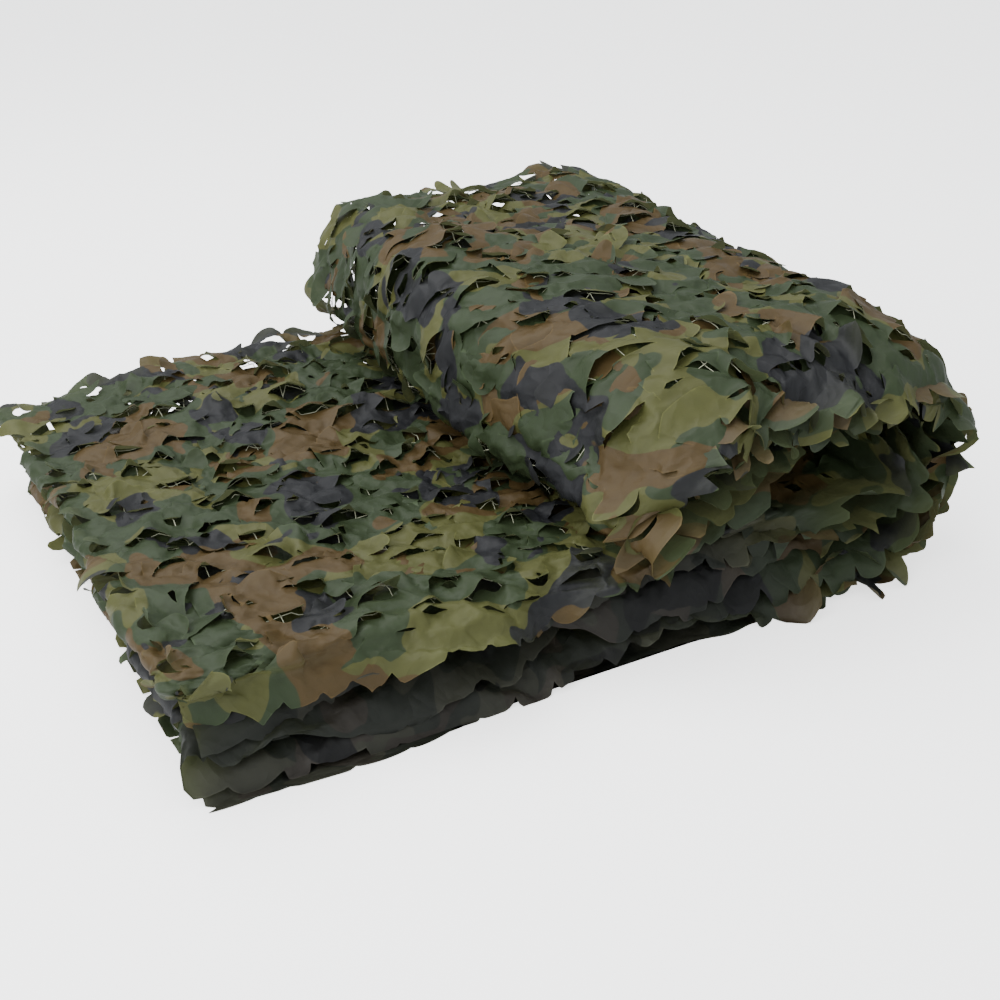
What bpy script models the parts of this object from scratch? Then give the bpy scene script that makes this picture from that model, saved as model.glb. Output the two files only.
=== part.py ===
"""A leaf-cut camouflage net, folded into a bundle and set down on the ground.

One continuous sheet, folded back and forth: six plies lie flat, the whole stack turns over at
the right end, and its other half lies back on top as a thicker block. The sheet is modelled flat,
as a grid of cells, then its rows of points are laid along the folded section, the leaf cuts are
opened, and it is given a thickness. Last, the bundle sags: its rims sink and its block leans.
Metres, +Z up. The origin is on the ground, under the middle of the bundle.
"""

import math

import bmesh
import bpy
import numpy as np

# The bundle
LENGTH = 1.15
WIDTH = 0.92
LEFT = -LENGTH / 2
RIGHT = LENGTH / 2
NEAR = -WIDTH / 2
FAR = WIDTH / 2

# One ply is the cloth with its leaf cuts standing up, so it is far thicker than the cloth
PLY = 0.021
PITCH = 0.0262
BLOCK_PITCH = 0.0295
PLIES = 6
BLOCK_PLIES = 8
STACK_TOP = PLY + (PLIES - 1) * PITCH
BLOCK_TOP = STACK_TOP + BLOCK_PLIES * BLOCK_PITCH

# The right end, where the stack turns over around a hollow. Its foot is a sharper corner
HOLLOW = 0.084
INNER_RADIUS = (HOLLOW + PLY) / 2
OUTER_RADIUS = INNER_RADIUS + (PLIES - 1) * PITCH
FOOT_SHARPER = 0.035
TURN_X = RIGHT - PLY / 2 - OUTER_RADIUS
TURN_Z = STACK_TOP - PLY / 2 + INNER_RADIUS

# The left end, where each fold or free end of the flat stack stops short of the longest one
LONGEST_INSET = PLY / 2
FREE_END_INSETS = {1: 0.030, 4: 0.036}
FOLD_2_3_INSET = 0.024

# The block on top. Its left face stands here, and its plies sink to the stack between two bends
BLOCK_LEFT = -0.070
BLOCK_CORNER_TOP = 0.080
BLOCK_CORNER_FOOT = 0.052
BEND_LOW_X = 0.068
BEND_HIGH_X = 0.272
BEND_RADIUS = 0.14
HEART_RIGHT = 0.062

# Spacing of the rows of points, and the columns of cells: hidden plies keep only some of them
FINE_STEP = 0.034
COARSE_STEP = 0.100
COARSE_ANGLE = math.radians(22.5)
SMALL_FOLD = 0.03
SHORTEST_RUN = 0.006
CELLS_ACROSS = 26
HIDDEN_COLUMNS = [0, *range(2, CELLS_ACROSS, 4), CELLS_ACROSS]
COLUMNS_Y = [NEAR + WIDTH * column / CELLS_ACROSS for column in HIDDEN_COLUMNS]

# Leaf cuts: eye-shaped gaps right through the ply, whose lips stand up or tuck in
CUT_CELLS = 2
CUT_EVERY_ALONG = 4
CUT_EVERY_ACROSS = 2
CUT_PINCH = 0.007
LIP_OUT = 0.010
LIP_IN = 0.002
TUCKED_LIP_EVERY = 3

# The sheet's two long edges: lobes between the rows, and a slow drift in and out
RIM_LOBE = 0.012
RIM_DRIFT = 0.007
RIM_DRIFT_LENGTH = 1.2

# How the bundle sags. Each is a distance, but for RIGHT_RISE, a share of the height
NEAR_LEAN = 0.18
FAR_LEAN = 0.06
LEAN_REACH = 0.42
LEAN_STOPS_X = 0.46
RIM_REACH = 0.16
NEAR_DROOP = 0.045
FAR_DROOP = 0.015
RIGHT_RISE = 0.04
RISE_STARTS_X = -0.10
BACK_HUMP = 0.032
BACK_HUMP_Y = -0.20
BACK_HUMP_X = (LEFT, -0.15, -0.02, 0.38)
WAVE = 0.010
WAVE_LENGTH_X = 0.70
WAVE_LENGTH_Y = 0.80


def clear_scene():
    for old in list(bpy.data.objects):
        bpy.data.objects.remove(old, do_unlink=True)


def smooth(low, high, value):
    """0 below low, 1 above high, and a smooth curve between them."""
    share = np.clip((value - low) / (high - low), 0.0, 1.0)
    return share * share * (3.0 - 2.0 * share)


def chance(a, b, seed):
    """A fixed value from 0 to 1 for each pair of whole numbers."""
    mixed = math.sin(a * 12.9898 + b * 78.233 + seed * 37.719) * 43758.5453
    return mixed - math.floor(mixed)


def stack_z(ply):
    """Height of a ply's middle in the flat stack. Ply 1 lies on the ground."""
    return PLY / 2 + (ply - 1) * PITCH


def block_z(level):
    """Height of a ply's middle in the block, level 1 being the lowest."""
    return stack_z(PLIES) + level * BLOCK_PITCH


def turn_radius(ply):
    return INNER_RADIUS + (PLIES - ply) * PITCH


def section_corners():
    """The folded section as corners joined by straight runs.

    Columns: x, z, radius of the rounded corner, and whether the run that ends here shows outside.
    """
    rows = []

    def row(x, z, radius=0.0, shows=False):
        rows.append((x, z, radius, shows))

    def around_right(ply, upwards, shows=False):
        """Half a turn around the hollow, between the stack and the block."""
        radius = turn_radius(ply)
        foot = (stack_z(ply), radius - FOOT_SHARPER)
        crown = (TURN_Z + radius, radius)
        first, second = (foot, crown) if upwards else (crown, foot)
        row(TURN_X + radius, *first)
        row(TURN_X + radius, *second, shows)

    def sinks(ply, level, leftwards):
        """Plies 4 to 6 sink from above the hollow to the stack, or rise from it."""
        ends = [(BEND_HIGH_X, TURN_Z + turn_radius(ply)), (BEND_LOW_X, block_z(level))]
        for x, z in ends if leftwards else reversed(ends):
            row(x, z, BEND_RADIUS)

    def doubles_back(x, z_from, z_to):
        row(x, z_from, abs(z_to - z_from) / 2)
        row(x, z_to, abs(z_to - z_from) / 2)

    face = BLOCK_LEFT + PLY / 2
    second_face = face + BLOCK_PITCH
    heart_left = second_face + BLOCK_PITCH

    # Ply 1: along the ground, up around the right end, over the top, down the block's left face
    row(LEFT + FREE_END_INSETS[1], stack_z(1))
    around_right(1, upwards=True, shows=True)
    row(face, block_z(8), BLOCK_CORNER_TOP, shows=True)
    row(face, block_z(1), BLOCK_CORNER_FOOT, shows=True)
    # Ply 6: under the block, around the hollow, and out to the left as the flat stack's top
    sinks(6, 1, leftwards=False)
    around_right(6, upwards=False)
    row(BLOCK_LEFT, stack_z(6))
    row(LEFT + LONGEST_INSET, stack_z(6), PITCH / 2, shows=True)
    # Ply 5, then ply 2 above it in the block
    row(LEFT + LONGEST_INSET, stack_z(5), PITCH / 2, shows=True)
    around_right(5, upwards=True)
    sinks(5, 2, leftwards=True)
    row(second_face, block_z(2), BLOCK_CORNER_FOOT - BLOCK_PITCH)
    row(second_face, block_z(7), BLOCK_CORNER_TOP - BLOCK_PITCH)
    around_right(2, upwards=False)
    # Plies 2 and 3 meet in a fold at the left end
    doubles_back(LEFT + FOLD_2_3_INSET, stack_z(2), stack_z(3))
    around_right(3, upwards=True)
    # The block's heart, three short folds, then ply 4 back to the sheet's other end
    doubles_back(heart_left, block_z(6), block_z(5))
    doubles_back(HEART_RIGHT, block_z(5), block_z(4))
    doubles_back(heart_left, block_z(4), block_z(3))
    sinks(4, 3, leftwards=False)
    around_right(4, upwards=False)
    row(LEFT + FREE_END_INSETS[4], stack_z(4))
    return rows


def corner_arc(before, here, after, radius, step):
    """Points around one rounded corner, first to last. A hidden corner has no step given."""
    to_before = (before - here) / np.linalg.norm(before - here)
    to_after = (after - here) / np.linalg.norm(after - here)
    between = math.acos(np.clip(to_before @ to_after, -1.0, 1.0))
    towards_centre = (to_before + to_after) / np.linalg.norm(to_before + to_after)
    centre = here + towards_centre * radius / math.sin(between / 2)
    first = here + to_before * radius / math.tan(between / 2) - centre
    side = to_before[1] * to_after[0] - to_before[0] * to_after[1]
    sweep = math.copysign(math.pi - between, side)
    angle_step = step / radius if step else COARSE_ANGLE
    count = 2 if radius < SMALL_FOLD else max(2, math.ceil(abs(sweep) / angle_step))
    points = []
    for number in range(count + 1):
        angle = sweep * number / count
        swung_x = first[0] * math.cos(angle) - first[1] * math.sin(angle)
        swung_z = first[0] * math.sin(angle) + first[1] * math.cos(angle)
        points.append(centre + np.array([swung_x, swung_z]))
    return points


def section_stations():
    """Points along the section, its corners rounded. Columns: x, z, shows outside."""
    rows = section_corners()
    stations = [(rows[0][0], rows[0][1], False)]
    for index in range(1, len(rows)):
        here = np.array(rows[index][:2])
        radius, shows = rows[index][2:]
        shows_next = index + 1 < len(rows) and rows[index + 1][3]
        arc = [here]
        if radius > 0:
            before = np.array(rows[index - 1][:2])
            after = np.array(rows[index + 1][:2])
            arc = corner_arc(before, here, after, radius, FINE_STEP if shows_next else None)
        start = np.array(stations[-1][:2])
        run = np.linalg.norm(arc[0] - start)
        count = round(run / (FINE_STEP if shows else COARSE_STEP))
        for number in range(1, count):
            point = start + (arc[0] - start) * number / count
            stations.append((point[0], point[1], shows))
        if run < SHORTEST_RUN:
            arc = arc[1:]
        stations += [(point[0], point[1], shows_next) for point in arc]
    return stations


def section_sides(stations):
    """The outward side of the sheet at each station, in the plane of the section."""
    places = np.array([station[:2] for station in stations])
    along = np.gradient(places, axis=0)
    along /= np.linalg.norm(along, axis=1)[:, None]
    return np.stack([along[:, 1], -along[:, 0]], axis=1)


def flat_sheet(rows_along):
    """A flat grid of cells with its points in a table: points[along][across]."""
    sheet = bmesh.new()
    bmesh.ops.create_grid(sheet, x_segments=rows_along - 1, y_segments=CELLS_ACROSS, size=1.0)
    points = [[None] * (CELLS_ACROSS + 1) for _ in range(rows_along)]
    for point in sheet.verts:
        along = round((point.co.x + 1) / 2 * (rows_along - 1))
        across = round((point.co.y + 1) / 2 * CELLS_ACROSS)
        points[along][across] = point
    return sheet, points


def rim_inset(along, travelled, rim):
    """How far in from the bundle's side one rim of the sheet lies."""
    drift = RIM_DRIFT * (1.0 + math.sin(math.tau * travelled / RIM_DRIFT_LENGTH + rim))
    lobe = RIM_LOBE * (along % 2) * (0.4 + 0.6 * chance(along, rim, 3))
    return drift + lobe


def lay_along_section(points, stations):
    """Put each row of points at its station, with uneven lobes along both rims."""
    travelled = 0.0
    for along, (x, z, _) in enumerate(stations):
        if along:
            travelled += math.dist((x, z), stations[along - 1][:2])
        near = NEAR + rim_inset(along, travelled, 0)
        far = FAR - rim_inset(along, travelled, 1)
        for across, point in enumerate(points[along]):
            y = NEAR + WIDTH * across / CELLS_ACROSS
            point.co = (x, min(max(y, near), far), z)


def leaf_cuts(stations):
    """The first cell of each cut. Every second row of cuts along the sheet is shifted half way."""
    cuts = []
    for along in range(1, len(stations) - CUT_CELLS - 1):
        nearby = stations[along - 1 : along + CUT_CELLS + 2]
        steps = [math.dist(one[:2], other[:2]) for one, other in zip(nearby, nearby[1:])]
        if min(steps) < FINE_STEP / 2 or not all(station[2] for station in nearby):
            continue
        for across in range(2, CELLS_ACROSS - 2, CUT_EVERY_ACROSS):
            shift = (across // CUT_EVERY_ACROSS) % 2 * CUT_EVERY_ALONG // 2
            if (along + shift) % CUT_EVERY_ALONG == 0:
                cuts.append((along, across))
    return cuts


def open_leaf_cuts(sheet, points, stations):
    """Take out the cells of each cut, draw its ends to points and lift its lips unevenly."""
    sides = section_sides(stations)
    gone = []
    for along, across in leaf_cuts(stations):
        for step in range(CUT_CELLS):
            corners = {points[along + step + i][across + j] for i in (0, 1) for j in (0, 1)}
            around = points[along + step][across].link_faces
            gone += [face for face in around if set(face.verts) == corners]
        for lip, inwards in ((0, 1), (1, -1)):
            for end in (0, CUT_CELLS):
                points[along + end][across + lip].co.y += inwards * CUT_PINCH
            middle = points[along + 1][across + lip]
            tucked = (along + across + lip) % TUCKED_LIP_EVERY == 0
            lift = -LIP_IN if tucked else LIP_OUT * chance(along, across, lip)
            middle.co.x += sides[along + 1][0] * lift
            middle.co.z += sides[along + 1][1] * lift
            middle.co.y -= inwards * CUT_PINCH / 2
    bmesh.ops.delete(sheet, geom=gone, context="FACES")


def coarsen_hidden(sheet, points, stations):
    """Hidden plies need fewer cells across, so the edges between their spare cells go."""
    spare = []
    for along in range(len(stations) - 1):
        if stations[along][2] or stations[along + 1][2]:
            continue
        for across in set(range(CELLS_ACROSS)) - set(HIDDEN_COLUMNS):
            ends = {points[along][across], points[along + 1][across]}
            spare += [edge for edge in points[along][across].link_edges if set(edge.verts) == ends]
    bmesh.ops.dissolve_edges(sheet, edges=spare, use_verts=True)
    bmesh.ops.triangulate(sheet, faces=sheet.faces)


def thicken(sheet, name):
    """The sheet with its thickness, as a closed mesh."""
    flat = bpy.data.meshes.new(name)
    sheet.to_mesh(flat)
    sheet.free()
    guide = bpy.data.objects.new(name, flat)
    bpy.context.scene.collection.objects.link(guide)
    thickness = guide.modifiers.new("ply", "SOLIDIFY")
    thickness.thickness = PLY
    thickness.offset = 0.0
    thickness.use_even_offset = True
    evaluated = guide.evaluated_get(bpy.context.evaluated_depsgraph_get())
    solid = bpy.data.meshes.new_from_object(evaluated)
    bpy.data.objects.remove(guide)
    return solid


def sag(x, y, z):
    """Where a point of the evenly folded bundle comes to lie."""
    # The ends of the block's left face lean back, ply by ply, and the near one most
    in_block = np.clip((z - STACK_TOP) / (BLOCK_TOP - STACK_TOP), 0.0, 1.0)
    near_lean = NEAR_LEAN * (1.0 - smooth(NEAR, NEAR + LEAN_REACH, y))
    far_lean = FAR_LEAN * smooth(FAR - LEAN_REACH, FAR, y)
    x += (near_lean + far_lean) * in_block * (1.0 - smooth(BLOCK_LEFT, LEAN_STOPS_X, x))
    # The rims of the upper plies hang over the near and far sides
    near_droop = NEAR_DROOP * (1.0 - smooth(NEAR, NEAR + RIM_REACH, y))
    far_droop = FAR_DROOP * smooth(FAR - RIM_REACH, FAR, y)
    z -= (near_droop + far_droop) * in_block
    # The far side stands higher at the right end, and humps up beside and under the block
    z *= 1.0 + RIGHT_RISE * smooth(RISE_STARTS_X, RIGHT, x) * smooth(NEAR, FAR, y)
    hump_x = smooth(*BACK_HUMP_X[:2], x) * (1.0 - smooth(*BACK_HUMP_X[2:], x))
    z += BACK_HUMP * hump_x * smooth(BACK_HUMP_Y, FAR, y) * np.clip(z / STACK_TOP, 0.0, 1.0)
    # Gentle waves, stronger with height
    wave = math.sin(math.tau * x / WAVE_LENGTH_X + y) * math.cos(math.tau * y / WAVE_LENGTH_Y - x)
    z += WAVE * wave * np.clip(z / BLOCK_TOP, 0.0, 1.0)
    return np.array([x, y, z])


def sag_between_columns(place):
    """The sag at the nearest two columns of the hidden plies, so no ply bends into its neighbour."""
    x, y, z = place
    upper = int(np.clip(np.searchsorted(COLUMNS_Y, y), 1, len(COLUMNS_Y) - 1))
    low_y, high_y = COLUMNS_Y[upper - 1], COLUMNS_Y[upper]
    share = (y - low_y) / (high_y - low_y)
    sunk = sag(x, low_y, z) * (1.0 - share) + sag(x, high_y, z) * share
    return sunk[0], y, sunk[2]


def centre_on_ground(solid):
    """Bring the middle of the bundle over the origin and its lowest faces to the ground."""
    places = np.array([point.co for point in solid.vertices])
    low, high = places.min(axis=0), places.max(axis=0)
    shift = np.array([-(low[0] + high[0]) / 2, -(low[1] + high[1]) / 2, -low[2]])
    for point, place in zip(solid.vertices, places + shift):
        point.co = place


def cloth_material():
    material = bpy.data.materials.new("leaf_cloth")
    material.use_nodes = True
    shader = material.node_tree.nodes["Principled BSDF"]
    shader.inputs["Base Color"].default_value = (0.10, 0.13, 0.07, 1.0)
    shader.inputs["Roughness"].default_value = 0.55
    shader.inputs["Metallic"].default_value = 0.0
    return material


def folded_net():
    stations = section_stations()
    sheet, points = flat_sheet(len(stations))
    lay_along_section(points, stations)
    open_leaf_cuts(sheet, points, stations)
    coarsen_hidden(sheet, points, stations)
    solid = thicken(sheet, "net_cloth")
    for point in solid.vertices:
        point.co = sag_between_columns(point.co)
    centre_on_ground(solid)
    solid.materials.append(cloth_material())
    return bpy.data.objects.new("net_cloth", solid)


def main():
    clear_scene()
    bundle = bpy.data.collections.new("camouflage_net")
    bpy.context.scene.collection.children.link(bundle)
    bundle.objects.link(folded_net())


main()
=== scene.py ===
import math

import bpy
import numpy as np
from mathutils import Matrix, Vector, kdtree
from mathutils.geometry import delaunay_2d_cdt


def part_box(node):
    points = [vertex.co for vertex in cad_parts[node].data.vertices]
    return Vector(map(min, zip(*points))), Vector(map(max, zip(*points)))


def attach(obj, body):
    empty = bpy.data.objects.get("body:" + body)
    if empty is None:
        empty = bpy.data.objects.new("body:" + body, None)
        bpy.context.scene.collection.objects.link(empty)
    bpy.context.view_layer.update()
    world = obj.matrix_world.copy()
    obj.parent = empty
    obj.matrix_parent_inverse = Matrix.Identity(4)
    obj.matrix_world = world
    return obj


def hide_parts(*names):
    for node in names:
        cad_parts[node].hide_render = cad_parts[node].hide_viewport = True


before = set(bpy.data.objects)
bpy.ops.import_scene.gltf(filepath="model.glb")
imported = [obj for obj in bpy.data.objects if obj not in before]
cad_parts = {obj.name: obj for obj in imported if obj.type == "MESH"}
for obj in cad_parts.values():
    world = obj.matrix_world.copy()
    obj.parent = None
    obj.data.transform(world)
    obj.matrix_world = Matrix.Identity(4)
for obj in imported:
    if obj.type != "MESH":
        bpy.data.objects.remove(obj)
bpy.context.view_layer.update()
netLow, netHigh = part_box("net_cloth")
print("frame: the net lies between", tuple(netLow), "and", tuple(netHigh))

# The folded bundle: a flat stack of plies, its turned-over right end, and the block on top
bundle = {
    "length": 1.15, "width": 0.92, "centreX": -0.0039,
    "ply": 0.021, "pitch": 0.0262, "blockPitch": 0.0295, "plies": 6, "blockPlies": 8,
    "hollow": 0.084, "footSharper": 0.035, "step": 0.004,
    "freeInset1": 0.030, "freeInset4": 0.036, "foldInset23": 0.024, "foldInset56": 0.0105,
    "blockLeft": -0.070, "cornerTop": 0.080, "cornerFoot": 0.052,
    "bendLowX": 0.068, "bendHighX": 0.272, "bendRadius": 0.14, "heartRight": 0.062,
}
sameSpot, leastTurn, noiseSpan = 0.001, 0.01, 128
left, right = -bundle["length"] / 2, bundle["length"] / 2
near, far = -bundle["width"] / 2, bundle["width"] / 2
ply, pitch, blockPitch = bundle["ply"], bundle["pitch"], bundle["blockPitch"]
innerRadius = (bundle["hollow"] + ply) / 2
outerRadius = innerRadius + (bundle["plies"] - 1) * pitch
stackTop = ply + (bundle["plies"] - 1) * pitch
blockTop = stackTop + bundle["blockPlies"] * blockPitch
turnX = right - ply / 2 - outerRadius
turnZ = stackTop - ply / 2 + innerRadius


def smooth(low, high, value):
    share = np.clip((value - low) / (high - low), 0.0, 1.0)
    return share * share * (3.0 - 2.0 * share)


def sectionCorners():
    # Where the sheet turns, in the plane across its folds: x, z, radius and a name
    rows = []

    def stackZ(number):
        return ply / 2 + (number - 1) * pitch

    def blockZ(level):
        return stackZ(bundle["plies"]) + level * blockPitch

    def turnRadius(number):
        return innerRadius + (bundle["plies"] - number) * pitch

    def row(x, z, radius=0.0, name=""):
        rows.append((x, z, radius, name))

    def aroundRight(number, upwards, name=""):
        radius = turnRadius(number)
        foot = (stackZ(number), radius - bundle["footSharper"])
        crown = (turnZ + radius, radius)
        first, second = (foot, crown) if upwards else (crown, foot)
        row(turnX + radius, *first, name)
        row(turnX + radius, *second)

    def sinks(number, level, leftwards):
        ends = [
            (bundle["bendHighX"], turnZ + turnRadius(number)),
            (bundle["bendLowX"], blockZ(level)),
        ]
        for x, z in ends if leftwards else reversed(ends):
            row(x, z, bundle["bendRadius"])

    def doublesBack(x, zFrom, zTo):
        row(x, zFrom, abs(zTo - zFrom) / 2)
        row(x, zTo, abs(zTo - zFrom) / 2)

    face = bundle["blockLeft"] + ply / 2
    secondFace = face + blockPitch
    heartLeft = secondFace + blockPitch
    longest = left + bundle["foldInset56"]
    row(left + bundle["freeInset1"], stackZ(1))
    aroundRight(1, True, "coverStart")
    row(face, blockZ(8), bundle["cornerTop"])
    row(face, blockZ(1), bundle["cornerFoot"], "coverEnd")
    sinks(6, 1, False)
    aroundRight(6, False)
    row(bundle["blockLeft"], stackZ(6), 0.0, "shelfStart")
    row(longest, stackZ(6), pitch / 2)
    row(longest, stackZ(5), pitch / 2, "shelfEnd")
    aroundRight(5, True)
    sinks(5, 2, True)
    row(secondFace, blockZ(2), bundle["cornerFoot"] - blockPitch, "secondFace")
    row(secondFace, blockZ(7), bundle["cornerTop"] - blockPitch)
    aroundRight(2, False, "secondTop")
    doublesBack(left + bundle["foldInset23"], stackZ(2), stackZ(3))
    aroundRight(3, True, "leftFold")
    doublesBack(heartLeft, blockZ(6), blockZ(5))
    doublesBack(bundle["heartRight"], blockZ(5), blockZ(4))
    doublesBack(heartLeft, blockZ(4), blockZ(3))
    sinks(4, 3, False)
    aroundRight(4, False)
    row(left + bundle["freeInset4"], stackZ(4))
    return rows


def roundedCorner(before, here, after, radius):
    toBefore = (before - here) / np.linalg.norm(before - here)
    toAfter = (after - here) / np.linalg.norm(after - here)
    between = math.acos(np.clip(toBefore @ toAfter, -1.0, 1.0))
    inwards = (toBefore + toAfter) / np.linalg.norm(toBefore + toAfter)
    centre = here + inwards * radius / math.sin(between / 2)
    first = here + toBefore * radius / math.tan(between / 2) - centre
    side = toBefore[1] * toAfter[0] - toBefore[0] * toAfter[1]
    sweep = math.copysign(math.pi - between, side)
    count = max(4, math.ceil(radius * abs(sweep) / bundle["step"]))
    angles = sweep * np.arange(count + 1) / count
    swungX = first[0] * np.cos(angles) - first[1] * np.sin(angles)
    swungZ = first[0] * np.sin(angles) + first[1] * np.cos(angles)
    return centre + np.stack([swungX, swungZ], axis=1)


def foldedSection():
    # The sheet's way through the folds: length travelled, places, outward sides and named lengths
    rows = sectionCorners()
    places = [np.array(rows[0][:2])]
    marks = {}
    for index in range(1, len(rows)):
        here = np.array(rows[index][:2])
        arc = [here]
        if rows[index][2] > 0:
            before, after = np.array(rows[index - 1][:2]), np.array(rows[index + 1][:2])
            arc = roundedCorner(before, here, after, rows[index][2])
        start = places[-1]
        run = np.linalg.norm(arc[0] - start)
        count = max(1, round(run / bundle["step"]))
        places += [start + (arc[0] - start) * number / count for number in range(1, count)]
        places += list(arc)
        marks[rows[index][3]] = len(places) - 1
    places = np.array(places)
    travelled = np.concatenate([[0.0], np.cumsum(np.linalg.norm(np.diff(places, axis=0), axis=1))])
    marks = {name: travelled[number] for name, number in marks.items() if name}
    kept = np.concatenate([[True], np.diff(travelled) > 1e-6])
    places, travelled = places[kept], travelled[kept]
    along = np.gradient(places, travelled, axis=0)
    along /= np.linalg.norm(along, axis=1)[:, None]
    return travelled, places, np.stack([along[:, 1], -along[:, 0]], axis=1), marks


# How the bundle sags. Distances, but for rightRise, a share of the height
sagging = {
    "nearLean": 0.18, "farLean": 0.06, "leanReach": 0.42, "leanStopsX": 0.46,
    "rimReach": 0.16, "nearDroop": 0.045, "farDroop": 0.015,
    "rightRise": 0.04, "riseStartsX": -0.10,
    "backHump": 0.032, "backHumpY": -0.20, "backHumpX": (left, -0.15, -0.02, 0.38),
    "wave": 0.010, "waveLengthX": 0.70, "waveLengthY": 0.80,
}


def sag(x, y, z):
    k = sagging
    inBlock = np.clip((z - stackTop) / (blockTop - stackTop), 0.0, 1.0)
    lean = k["nearLean"] * (1.0 - smooth(near, near + k["leanReach"], y))
    lean = lean + k["farLean"] * smooth(far - k["leanReach"], far, y)
    x = x + lean * inBlock * (1.0 - smooth(bundle["blockLeft"], k["leanStopsX"], x))
    droop = k["nearDroop"] * (1.0 - smooth(near, near + k["rimReach"], y))
    droop = droop + k["farDroop"] * smooth(far - k["rimReach"], far, y)
    z = z - droop * inBlock
    z = z * (1.0 + k["rightRise"] * smooth(k["riseStartsX"], right, x) * smooth(near, far, y))
    humpX = smooth(*k["backHumpX"][:2], x) * (1.0 - smooth(*k["backHumpX"][2:], x))
    z = z + k["backHump"] * humpX * smooth(k["backHumpY"], far, y) * np.clip(z / stackTop, 0.0, 1.0)
    wave = np.sin(math.tau * x / k["waveLengthX"] + y) * np.cos(math.tau * y / k["waveLengthY"] - x)
    return x, y, z + k["wave"] * wave * np.clip(z / blockTop, 0.0, 1.0)


travelledAll, placesAll, sidesAll, marks = foldedSection()
sheetLength = travelledAll[-1]
# The pieces of cloth go well round the folds and corners where they end
runOn = {"shelfEnd": 0.045, "shelfStart": -0.16, "coverEnd": 0.05, "coverStart": -0.19}
for name, more in runOn.items():
    marks[name] += more
print("section: the sheet is", round(sheetLength, 2), "m long")


# The near side draws in along its middle, nothing sticks out far, and nothing goes under the ground
nearSide = {
    "recess": 0.046, "recessZ": (0.025, 0.060, 0.118, 0.150), "recessReach": 0.16,
    "wave": 0.4, "waveTurns": 9.0, "reachY": 0.478, "heldBack": 0.7, "ground": 0.0008,
}


def foldedPlace(u, v, lift):
    # Where a point of the flat sheet, raised off it by lift, comes to lie in the bundle
    k = nearSide
    x = np.interp(u, travelledAll, placesAll[:, 0]) + lift * np.interp(u, travelledAll, sidesAll[:, 0])
    z = np.interp(u, travelledAll, placesAll[:, 1]) + lift * np.interp(u, travelledAll, sidesAll[:, 1])
    low, start, end, high = k["recessZ"]
    band = smooth(low, start, z) * (1.0 - smooth(end, high, z))
    band = band * (1.0 - smooth(near, near + k["recessReach"], v))
    wave = 1.0 - k["wave"] + k["wave"] * np.sin(u * k["waveTurns"])
    x, y, z = sag(x, v + k["recess"] * band * wave, z)
    tooFar = np.maximum(np.abs(y) - k["reachY"], 0.0)
    y = y - np.sign(y) * k["heldBack"] * tooFar
    return np.stack([x + bundle["centreX"], y, np.maximum(z, k["ground"])], axis=1)


def noiseCells(u, v, sizeU, sizeV, seed):
    # Random values at the corners of the cell around each point, and where in its cell the point lies
    table = np.random.default_rng(seed).uniform(-1.0, 1.0, (noiseSpan, noiseSpan))
    cellU, cellV = np.floor(u / sizeU).astype(int), np.floor(v / sizeV).astype(int)
    cells = [[table[(cellU + i) % noiseSpan, (cellV + j) % noiseSpan] for j in (0, 1)] for i in (0, 1)]
    return cells, u / sizeU - cellU, v / sizeV - cellV


def softNoise(u, v, sizeU, sizeV, seed):
    # Smooth unevenness from -1 to 1 over the flat sheet
    corner, *shares = noiseCells(u, v, sizeU, sizeV, seed)
    shareU, shareV = (share * share * (3 - 2 * share) for share in shares)
    lower = corner[0][0] * (1 - shareU) + corner[1][0] * shareU
    upper = corner[0][1] * (1 - shareU) + corner[1][1] * shareU
    return lower * (1 - shareV) + upper * shareV


def facetNoise(u, v, sizeU, sizeV, seed):
    # The same, but in flat facets with creases between them
    corner, shareU, shareV = noiseCells(u, v, sizeU, sizeV, seed)
    overU = corner[0][0] + shareU * (corner[1][0] - corner[0][0]) + shareV * (corner[1][1] - corner[1][0])
    overV = corner[0][0] + shareV * (corner[0][1] - corner[0][0]) + shareU * (corner[1][1] - corner[0][1])
    return np.where(shareU > shareV, overU, overV)


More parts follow.
